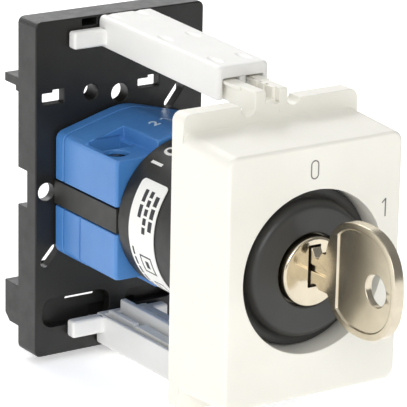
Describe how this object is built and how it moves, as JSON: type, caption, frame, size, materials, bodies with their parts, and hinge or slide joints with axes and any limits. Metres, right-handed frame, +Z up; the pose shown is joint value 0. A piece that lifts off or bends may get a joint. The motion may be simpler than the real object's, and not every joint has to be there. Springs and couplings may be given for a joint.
{
  "type": "selector key switch",
  "caption": "Rail-mounted key-operated rotary selector switch with a square cream front, telescoping side arms and a blue contact block.",
  "frame": {"origin": "centre of the plane on which the base plate sits against the mounting rail, on the axis of the lock", "axes": "+X to the right seen from the front, +Y backwards along the lock axis towards the rail, +Z up"},
  "size_m": [0.036, 0.0966, 0.0649],
  "materials": {
    "plate_black": "satin black moulding",
    "latch_black": "satin black moulding",
    "sleeve_grey": "satin cool grey-white moulding",
    "cover_cream": "satin warm cream moulding",
    "block_blue": "semi-gloss blue moulding",
    "strap_black": "satin black moulding",
    "drum_black": "satin black moulding",
    "bezel_black": "fine satin dark grey moulding",
    "label_white": "white printed film",
    "steel": "zinc plated",
    "brass": "stamped",
    "silver": "silver plated",
    "nickel": "polished nickel",
    "zinc_cast": "die cast",
    "carrier_ivory": "moulded",
    "rotor_grey": "moulded"
  },
  "bodies": {
    "base": {"base_plate": "plate_black", "latch_spring_left": "steel", "latch_spring_right": "steel", "sleeve_top": "sleeve_grey", "sleeve_bottom": "sleeve_grey", "rear_end_plate": "block_blue", "contact_housing": "block_blue", "strap_left": "strap_black", "strap_right": "strap_black", "plate_screw_top": "steel", "plate_screw_bottom": "steel", "contact_spring_top": "steel", "contact_spring_bottom": "steel", "index_housing": "drum_black", "lock_shell": "drum_black", "bezel_ring": "bezel_black", "type_label": "label_white", "lock_barrel": "zinc_cast", "barrel_nut": "steel", "fixed_contact_1": "brass", "fixed_contact_2": "brass", "fixed_contact_3": "brass", "fixed_contact_4": "brass"},
    "cover": {"front_cover": "cover_cream"},
    "plug_train": {"lock_plug": "nickel", "drive_shaft": "steel", "cam_rotor": "rotor_grey", "stop_disc": "rotor_grey"},
    "key": {"key": "nickel"},
    "contact_top": {"contact_carrier_top": "carrier_ivory", "contact_bridge_top": "silver"},
    "contact_bottom": {"contact_carrier_bottom": "carrier_ivory", "contact_bridge_bottom": "silver"},
    "latch": {"rail_latch": "latch_black"},
    "clamp_1": {"terminal_screw_1": "steel", "clamp_plate_1": "steel"},
    "clamp_2": {"terminal_screw_2": "steel", "clamp_plate_2": "steel"},
    "clamp_3": {"terminal_screw_3": "steel", "clamp_plate_3": "steel"},
    "clamp_4": {"terminal_screw_4": "steel", "clamp_plate_4": "steel"}
  },
  "joints": [
    {"name": "key_turn", "type": "hinge", "parent": "base", "child": "plug_train", "pos_m": [0, -0.055, 0], "axis": [0, 1, 0], "range_deg": [0, 60]},
    {"name": "key_pull", "type": "slide", "parent": "plug_train", "child": "key", "axis": [0, -1, 0], "range_m": [0, 0.024]},
    {"name": "cover_slide", "type": "slide", "parent": "base", "child": "cover", "axis": [0, -1, 0], "range_m": [0, 0.008]},
    {"name": "contact_top_drop", "type": "slide", "parent": "base", "child": "contact_top", "axis": [0, 0, -1], "range_m": [0, 0.0015], "deforming": ["contact_spring_top"]},
    {"name": "contact_bottom_rise", "type": "slide", "parent": "base", "child": "contact_bottom", "axis": [0, 0, 1], "range_m": [0, 0.0015], "deforming": ["contact_spring_bottom"]},
    {"name": "rail_latch_pull", "type": "slide", "parent": "base", "child": "latch", "axis": [0, 0, -1], "range_m": [0, 0.0022], "stiffness_N_per_m": 600, "springref_m": -0.002, "deforming": ["latch_spring_left", "latch_spring_right"]},
    {"name": "terminal_clamp_1", "type": "slide", "parent": "base", "child": "clamp_1", "axis": [0, 0, 1], "range_m": [0, 0.001]},
    {"name": "terminal_clamp_2", "type": "slide", "parent": "base", "child": "clamp_2", "axis": [0, 0, 1], "range_m": [0, 0.001]},
    {"name": "terminal_clamp_3", "type": "slide", "parent": "base", "child": "clamp_3", "axis": [0, 0, -1], "range_m": [0, 0.001]},
    {"name": "terminal_clamp_4", "type": "slide", "parent": "base", "child": "clamp_4", "axis": [0, 0, -1], "range_m": [0, 0.001]}
  ],
  "couplings": [
    {"joint": "contact_top_drop", "follows": "key_turn", "m_per_rad": 0.0013845},
    {"joint": "contact_bottom_rise", "follows": "key_turn", "m_per_rad": 0.0013845}
  ]
}
